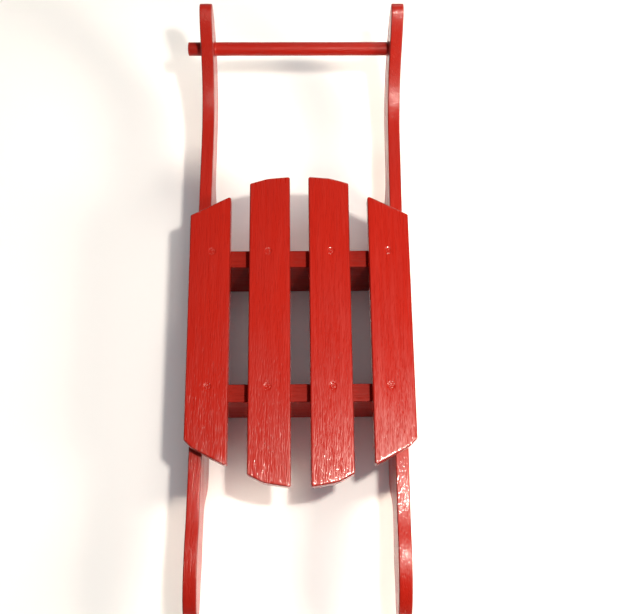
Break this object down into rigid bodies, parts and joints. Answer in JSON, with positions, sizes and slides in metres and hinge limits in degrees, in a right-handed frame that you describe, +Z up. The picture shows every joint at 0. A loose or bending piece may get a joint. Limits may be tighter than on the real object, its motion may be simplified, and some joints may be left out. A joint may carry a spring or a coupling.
{
  "type": "slatted wooden sled",
  "caption": "Low wooden sled painted gloss red: seat slats on braces between two shaped runners whose upswept horns carry a round crossbar.",
  "frame": {"origin": "on the ground, midway between the two runners and midway along their length", "axes": "+X to the sled's right as seen by a rider facing forward, +Y forward to the crossbar end, +Z up"},
  "size_m": [0.3139, 0.8382, 0.2037],
  "materials": {
    "slat_paint": "gloss red enamel brushed over open-grained board",
    "runner_paint": "gloss red enamel, slightly darker and browner on the runners",
    "brace_paint": "satin red enamel, thinner on the braces",
    "crossbar_paint": "gloss red enamel on a turned dowel",
    "screw_paint": "red enamel painted over countersunk steel heads"
  },
  "bodies": {
    "root": {"left_runner": "runner_paint", "right_runner": "runner_paint", "front_brace": "brace_paint", "rear_brace": "brace_paint", "crossbar": "crossbar_paint", "outer_left_slat": "slat_paint", "inner_left_slat": "slat_paint", "inner_right_slat": "slat_paint", "outer_right_slat": "slat_paint", "outer_left_slat_screws": "screw_paint", "inner_left_slat_screws": "screw_paint", "inner_right_slat_screws": "screw_paint", "outer_right_slat_screws": "screw_paint", "front_left_brace_screws": "screw_paint", "front_right_brace_screws": "screw_paint", "rear_left_brace_screws": "screw_paint", "rear_right_brace_screws": "screw_paint"}
  },
  "joints": []
}
